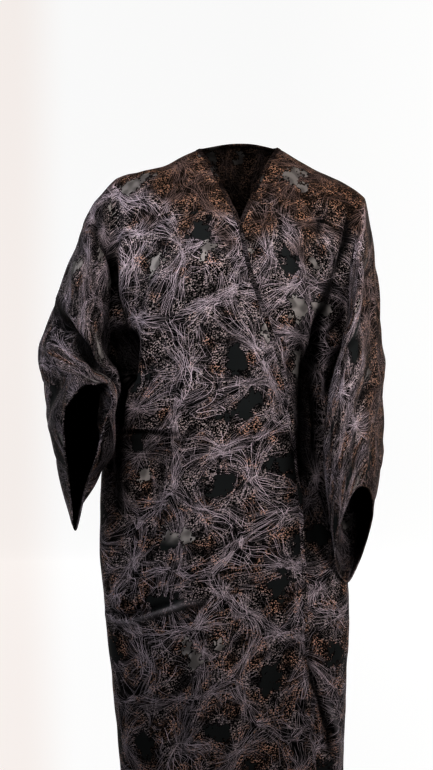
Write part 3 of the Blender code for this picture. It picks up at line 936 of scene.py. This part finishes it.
def strands(place, spacing, bundle, seed):
    """Hair-thin strands of even width that run through a tie in the middle of each border and
    fan out to both sides of it."""
    across, along, mark = place
    wide = abs(along) * bundle.spread + bundle.tie
    fan = (across + along * bundle.twist) / wide
    fan = fan + (grain(along * 1.7 + mark + seed, fan * 1.2 + mark) - 0.5) * bundle.bend
    strip = fan * bundle.count
    row = strip.floor()
    one, two = chance(row, mark + seed), chance(row, mark + seed + 31.7)
    off = abs(strip - row - 0.5 - (one - 0.5) * 0.7) * wide * (spacing / bundle.count)
    run = along * 2.0 + two * 5
    run = run - run.floor()
    strand = off.rise(HAIR, HAIR * 0.4) * run.rise(0.0, 0.15) * run.rise(0.80, 0.60)
    return strand * abs(across).rise(0.42, 0.22) * abs(fan).rise(1.1, 0.8) * two.rise(0.20, 0.90)


# Each piece is cut from its own stretch of the organza.
CUT_FROM = {
    "front_right": (0.0, 0.0), "front_left": (3.1, 1.7), "back": (6.3, 4.1), "band": (9.2, 2.6),
}
SPECK = 0.0034


def organza(name):
    """The cloth's finish, drawn on the flat map of one piece."""
    material, shader, start = new_finish(name + "_organza")
    x, y = split(start.node("ShaderNodeUVMap", {"uv_map": "flat"}, {}, "UV"))
    x, y = x + CUT_FROM[name][0], y + CUT_FROM[name][1]
    worn_x, worn_z = split(start.node("ShaderNodeTexCoord", {}, {}, "Object"), "XZ")
    fold = start.node("ShaderNodeAttribute", {"attribute_name": "painted_fold_shade_and_shine"}, {}, "Fac")

    spacing = NETS[0][0]
    bend = (grain(x / 0.06, y / 0.06) - 0.5) * CURL
    qx, qy = (x + bend + sway(x, y)) / spacing, (y + bend) / spacing
    near, next_near = cell(qx, qy, "F1", "Distance"), cell(qx, qy, "F2", "Distance")
    kind, other_kind = split(cell(qx, qy, "F1", "Color"))
    border = next_near - near + (grain(x / 0.024, y / 0.024, 1.0) - 0.5) * 0.7

    nets = [net(x, y, spacing, seed) for spacing, seed in NETS]
    hair = None
    for number, bundle in enumerate(BUNDLES):
        lines = strands(nets[bundle.net], NETS[bundle.net][0], bundle, 3 * number)
        if bundle.net == FINE_NET:
            lines = lines * border.rise(0.26, 0.06)
        hair = lines if hair is None else hair.top(lines)

    speck_x = (x + (grain(x / 0.005, y / 0.005) - 0.5) * 0.004) / SPECK
    dots = cell(speck_x, y / SPECK, "F1", "Distance")
    dot_kind = split(cell(speck_x, y / SPECK, "F1", "Color"))[0]
    crowded = grain(x / 0.026 + 8, y / 0.026, 1.0).rise(0.30, 0.66) * 0.85 + 0.15
    dots = (dots + dot_kind * 0.35).rise(0.52, 0.40) * border.rise(0.06, 0.18) * crowded

    ragged = (grain(x / 0.012, y / 0.012, 2.5, 0.6) - 0.5) * 0.42
    ragged = ragged + (grain(x / 0.03, y / 0.03 + 4) - 0.5) * 0.25
    pale = (other_kind + worn_z * 0.8).rise(0.08, 0.10)
    reach = near + ragged - kind * 0.10 + pale * 0.04 + 0.01
    patch, patch_edge = reach.rise(0.11, 0.09), reach.rise(0.15, 0.12) * 0.9

    drift = (grain(x / 0.05, y / 0.05 + 2) - 0.5) * 0.16
    brown = (worn_z + drift + (worn_x + 0.10).least(0) * 0.9).rise(-0.22, -0.11)
    brown = brown.top((worn_x + drift * 0.3).rise(0.218, 0.245) * 0.8)
    rusty = (grain(x / 0.04, y / 0.04 + 7) - worn_z * 0.35).rise(0.70, 0.92)
    seed = blend(brown, blend(rusty, SEED, RUSTY_SEED), BROWN_SEED)
    colour = blend(dots, blend(brown, GROUND, BROWN_GROUND), seed)
    colour = blend(hair, colour, blend(brown, STRAND, BROWN_STRAND))
    bright = grain(x / 0.02, y / 0.02 + 3).rise(0.35, 0.65)
    cream = blend(brown * 0.6, blend(bright, PALE_PATCH, BRIGHT_PATCH), BROWN_PATCH)
    sheer = blend(pale, DARK_PATCH, cream)
    colour = blend(patch, blend(patch_edge, colour, PATCH_EDGE), sheer)
    # Painted shade: creases, shadows and the shell's inside are darkened towards near black.
    colour = blend(fold * 0.95, colour, PAINTED_SHADE)
    # Painted highlight along some pressed lines, strongest on the strands.
    colour = blend(fold * -1.0 * (hair * 0.7 + 0.3), colour, SHINE)
    if name == "band":
        # The band is blended towards black, more towards the neck: its double cloth, and painted
        # shade along the lapped edge.
        colour = blend(worn_z.rise(-0.50, -0.16) * 0.45 + 0.2, colour, BAND_BLACK)
    colour.tree.links.new(shader.inputs["Base Color"], colour.socket)
    shader.inputs["Roughness"].default_value = 0.55
    shader.inputs["Specular IOR Level"].default_value = 0.03
    return material


# The three panels
#
# Each is one layer of organza, cut in one with its half sleeves, and carries its flat map and the
# painted shade and highlights of its creases and shadows. Its inside is painted with shade, as it
# lies in the garment's own shade.

CLOTH = 0.0008
INSIDE_SHADE = 0.7


def panel_piece(name):
    """A panel's own thin shell of cloth, with its flat map."""
    own = cells[cell_panels == name]
    mesh = bpy.data.meshes.new(name + "_cloth")
    used, corner = np.unique(joined[own], return_inverse=True)
    mesh.from_pydata(cloth[used].tolist(), [], corner.reshape(own.shape).tolist())
    mesh.uv_layers.new(name="flat").data.foreach_set("uv", flats[own].reshape(-1))
    mesh.attributes.new("painted_fold_shade_and_shine", "FLOAT", "POINT").data.foreach_set("value", painted_shade_and_shine[used])
    mesh.shade_smooth()
    piece = placed(name + "_cloth", mesh)
    wall = piece.modifiers.new("wall", "SOLIDIFY")
    wall.thickness = CLOTH
    wall.offset = -1
    bpy.context.view_layer.objects.active = piece
    bpy.ops.object.modifier_apply(modifier="wall")
    # The inside of the shell is painted with shade.
    shade = np.zeros(len(mesh.vertices))
    painted_fold_shade_and_shine = mesh.attributes["painted_fold_shade_and_shine"].data
    painted_fold_shade_and_shine.foreach_get("value", shade)
    shade[len(used):] = np.maximum(shade[len(used):], INSIDE_SHADE)
    painted_fold_shade_and_shine.foreach_set("value", shade)
    return piece


for name in ("front_right", "front_left", "back"):
    panel = panel_piece(name)
    panel.data.materials.append(organza(name))
    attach(panel, "root")
    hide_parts(name)
    name + "_organza"


# The neck band
#
# One narrow folded strip of the same organza. It binds the right front's free edge, the neck and
# the left front's edge. It is painted darker than the panels, most towards the neck, partly because
# its cloth is double and partly as shade along the lapped edge.

# Across the strip from the edge inwards, and off the cloth.
STRIP_SECTION = (
    (-0.0009, -0.0004), (-0.0006, 0.0004), (0.0004, 0.0008), (0.0028, 0.0009), (0.0068, 0.0008),
    (0.0078, 0.0004), (0.0081, -0.0004), (0.0078, -0.0012), (0.0068, -0.0016), (0.0028, -0.0017),
    (0.0004, -0.0016), (-0.0006, -0.0012),
)
FOLD_ROUND = 0.001
NECK_ROWS = 5

band_organza = organza("band")


def edging(name, line, inward, outward, width, closed):
    """A folded strip along an edge of the cloth: a rounded flat section swept along it."""
    count, ring = len(line), len(STRIP_SECTION)
    inward = inward / np.linalg.norm(inward, axis=1, keepdims=True)
    outward = outward - inward * (outward * inward).sum(axis=1, keepdims=True)
    outward = outward / np.linalg.norm(outward, axis=1, keepdims=True)
    points = np.stack([
        line + inward * (s * width / BAND_WIDTH if s > FOLD_ROUND else s) + outward * h
        for s, h in STRIP_SECTION
    ], axis=1)
    faces = []
    for i in range(count if closed else count - 1):
        j = (i + 1) % count
        for k in range(ring):
            m = (k + 1) % ring
            faces.append((i * ring + k, j * ring + k, j * ring + m, i * ring + m))
    if not closed:
        faces.append(tuple(range(ring))[::-1])
        faces.append(tuple(range((count - 1) * ring, count * ring)))
    mesh = bpy.data.meshes.new(name)
    mesh.from_pydata(points.reshape(-1, 3).tolist(), [], faces)
    along = np.concatenate([[0], np.cumsum(np.linalg.norm(np.diff(line, axis=0), axis=1))])
    flat_map = mesh.uv_layers.new(name="flat")
    for corner, flat in zip(mesh.loops, flat_map.data):
        place, at = divmod(corner.vertex_index, ring)
        flat.uv = (STRIP_SECTION[at][0], along[place])
    piece = placed(name, mesh)
    bpy.context.view_layer.objects.active = piece
    piece.select_set(True)
    bpy.ops.object.mode_set(mode="EDIT")
    bpy.ops.mesh.select_all(action="SELECT")
    bpy.ops.mesh.normals_make_consistent(inside=False)
    bpy.ops.object.mode_set(mode="OBJECT")
    piece.select_set(False)
    mesh.shade_smooth()
    mesh.materials.append(band_organza)
    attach(piece, "root")
    return piece


def smoothed(vectors, rounds):
    """Vectors along an edge, evened out with their neighbours."""
    for _ in range(rounds):
        vectors[1:-1] = (vectors[:-2] + 2 * vectors[1:-1] + vectors[2:]) / 4
    return vectors


right, left, back = (on_cloth[name, "body"] for name in ("front_right", "front_left", "back"))
neck = slice(SIDE_COLUMNS + 1, SIDE_COLUMNS + 1 + NECK_COLUMNS)
edge_ids = np.concatenate([right[::-1, 0], back[0, neck], left[:, 0]])
inner_ids = np.concatenate([right[::-1, 1], back[NECK_ROWS, neck], left[:, 1]])
keep = np.concatenate([[True], edge_ids[1:] != edge_ids[:-1]])
edge_ids, inner_ids = edge_ids[keep], inner_ids[keep]
toward = cloth[inner_ids] - cloth[edge_ids]
toward = smoothed(toward / np.linalg.norm(toward, axis=1, keepdims=True), 3)
off_edge = smoothed(cloth_normals[edge_ids], 2)
band = edging("neck_band_strip", cloth[edge_ids], toward, off_edge, BAND_WIDTH, False)
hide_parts("neck_band")


# The hems
#
# The cuffs and the bottom are turned in narrowly and stitched flat, with the same fold as the band.

CUFF_HEM = 0.005
BOTTOM_HEM = 0.007

hems = []
for side in ("right", "left"):
    front, rear = on_cloth["front_" + side, side + "_arm"], on_cloth["back", side + "_arm"]
    rim, inside = (np.concatenate([front[:, i], rear[-2:0:-1, i]]) for i in (-1, -2))
    inward = cloth[inside] - cloth[rim]
    hems.append(edging(side + "_cuff_hem", cloth[rim], inward, cloth_normals[rim], CUFF_HEM, True))
rim, inside = (np.concatenate([right[i], back[i, 1:], left[i, -2::-1]]) for i in (-1, -2))
inward = cloth[inside] - cloth[rim]
hems.append(edging("bottom_hem", cloth[rim], inward, cloth_normals[rim], BOTTOM_HEM, False))

# With their edges made, the size of each panel's flat cut is worked out.
for name, edges in (("front_right", [band]), ("front_left", []), ("back", hems)):
    cut = flats[cells[cell_panels == name]]
    size = np.ptp(cut.reshape(-1, 2), axis=0)


# The stage
#
# A long sheet of paper lies below the garment and curves up far behind it. It glows with painted
# light instead of being lit: white behind the garment, warmer to the left, and dark in front, where
# its glow would light the cloth from below.

FLOOR_Z = HEM_Z - 0.05
FLOOR_FRONT, FLOOR_SIDE = -7.5, 7.0
CURVE_Y, CURVE_ROUND, CURVE_STEPS, WALL_TOP = 6.0, 1.2, 12, 6.0

bpy.ops.mesh.primitive_plane_add(size=1)
floor = bpy.context.object
floor.name = "floor"
floor.select_set(False)
curve = [
    (CURVE_Y + CURVE_ROUND * np.sin(turn), CURVE_ROUND * (1 - np.cos(turn)))
    for turn in np.linspace(0, np.pi / 2, CURVE_STEPS)
]
bends = [(FLOOR_FRONT, 0.0), *curve, (CURVE_Y + CURVE_ROUND, WALL_TOP)]
points = [(x, y, FLOOR_Z + z) for y, z in bends for x in (-FLOOR_SIDE, FLOOR_SIDE)]
faces = [(2 * i, 2 * i + 1, 2 * i + 3, 2 * i + 2) for i in range(len(bends) - 1)]
sweep = bpy.data.meshes.new("floor")
sweep.from_pydata(points, [], faces)
sweep.shade_smooth()
floor.data = sweep

paper, paper_shader, start = new_finish("paper")
paper_x, paper_y = split(start.node("ShaderNodeTexCoord", {}, {}, "Object"))
aside = paper_x / (paper_y - CAMERA_Y)
# Painted glow: the paper lights itself with this colour.
glow = blend(aside.rise(-0.100, -0.140), (0.950, 0.950, 0.950, 1), (0.915, 0.872, 0.850, 1))
glow = blend(aside.rise(0.02, 0.15), glow, (0.972, 0.972, 0.970, 1))
glow = blend(paper_y.rise(-0.4, 1.1), (0.05, 0.05, 0.05, 1), glow)
paper.node_tree.links.new(paper_shader.inputs["Emission Color"], glow.socket)
paper_shader.inputs["Emission Strength"].default_value = 1.0
paper_shader.inputs["Base Color"].default_value = (0.03, 0.03, 0.03, 1)
paper_shader.inputs["Roughness"].default_value = 0.9
sweep.materials.append(paper)

WHITE, BLUISH = (1.0, 0.96, 0.95), (0.74, 0.84, 1.0)
for name, size, watts, spread, colour, place, aim in (
    ("key", (0.8, 1.0), 6.1, 66, WHITE, (-0.9, -1.9, 0.75), (0, 0, 0.02)),
    ("fill", (0.8, 1.0), 2.3, 66, WHITE, (1.1, -2.0, 0.45), (0, 0, -0.05)),
    ("right_rim", (0.6, 1.2), 1.5, 44, BLUISH, (-2.0, -0.9, 0.5), (-0.25, 0, -0.2)),
    ("left_rim", (0.6, 1.2), 4.0, 44, WHITE, (1.9, -1.1, 0.5), (0.26, 0, -0.42)),
):
    lamp = bpy.data.lights.new(name, "AREA")
    lamp.shape = "RECTANGLE"
    lamp.size, lamp.size_y = size
    lamp.energy = watts
    lamp.spread = np.radians(spread)
    lamp.color = colour
    lamp_object = placed(name, lamp)
    lamp_object.location = place
    lamp_object.rotation_euler = (Vector(aim) - Vector(place)).to_track_quat("-Z", "Y").to_euler()
world = bpy.data.worlds.new("world")
world.use_nodes = True
world.node_tree.nodes["Background"].inputs["Color"].default_value = (1, 1, 1, 1)
world.node_tree.nodes["Background"].inputs["Strength"].default_value = 0.05
bpy.context.scene.world = world
bpy.context.scene.view_settings.view_transform = "Standard"
bpy.context.scene.view_settings.gamma = 0.72
